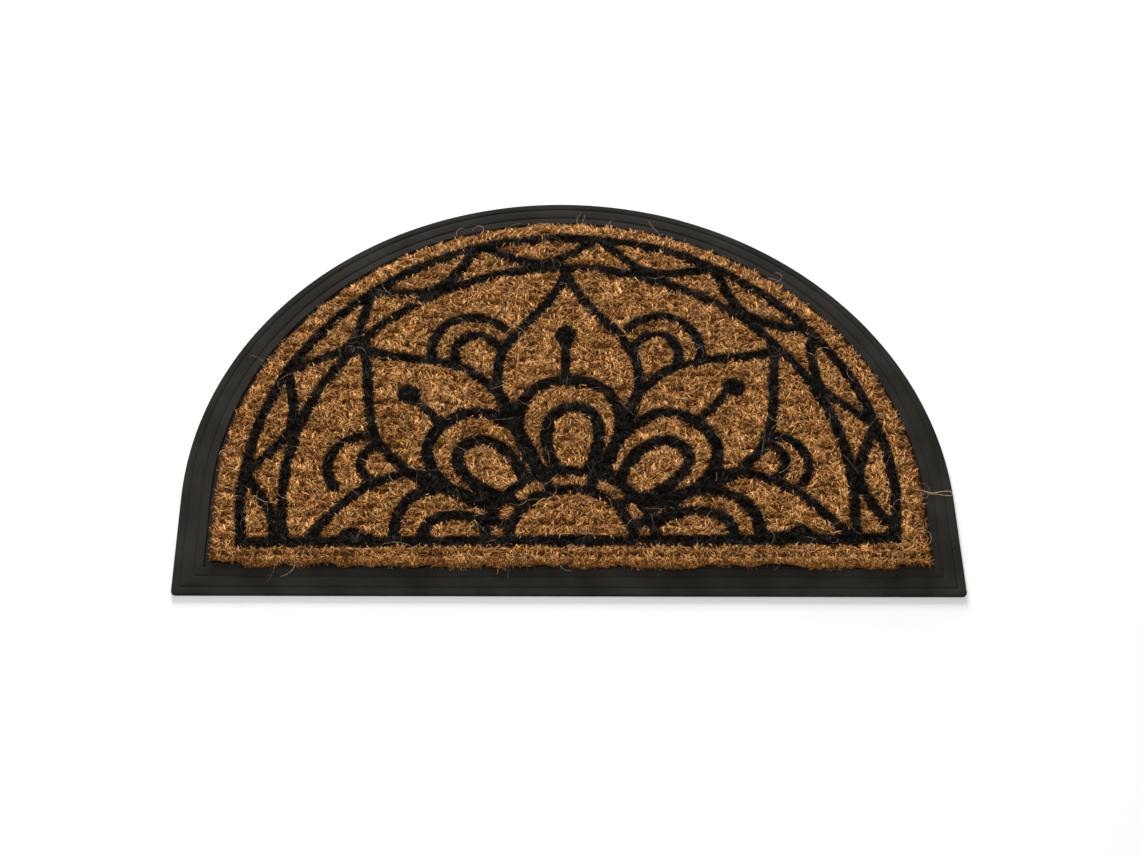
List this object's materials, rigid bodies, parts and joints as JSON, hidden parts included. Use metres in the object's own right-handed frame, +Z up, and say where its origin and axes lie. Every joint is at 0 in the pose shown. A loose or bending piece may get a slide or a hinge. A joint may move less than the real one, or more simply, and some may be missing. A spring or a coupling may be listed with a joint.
{
  "type": "half-round coir doormat",
  "caption": "Half-round doormat: a moulded rubber tray with a grooved border around a panel of cropped coir pile, lying flat on the floor.",
  "frame": {"origin": "on the floor, under the middle of the mat's outline box", "axes": "+X along the straight front edge, +Y from the front edge towards the round edge, +Z up out of the pile"},
  "size_m": [0.7, 0.45, 0.0098],
  "materials": {
    "rubber": "matte black moulded rubber with a faint sheen",
    "coir": "golden brown cropped coir pile with a black dyed half-mandala"
  },
  "bodies": {
    "root": {"rubber_tray": "rubber", "coir_pile": "coir"}
  },
  "joints": []
}
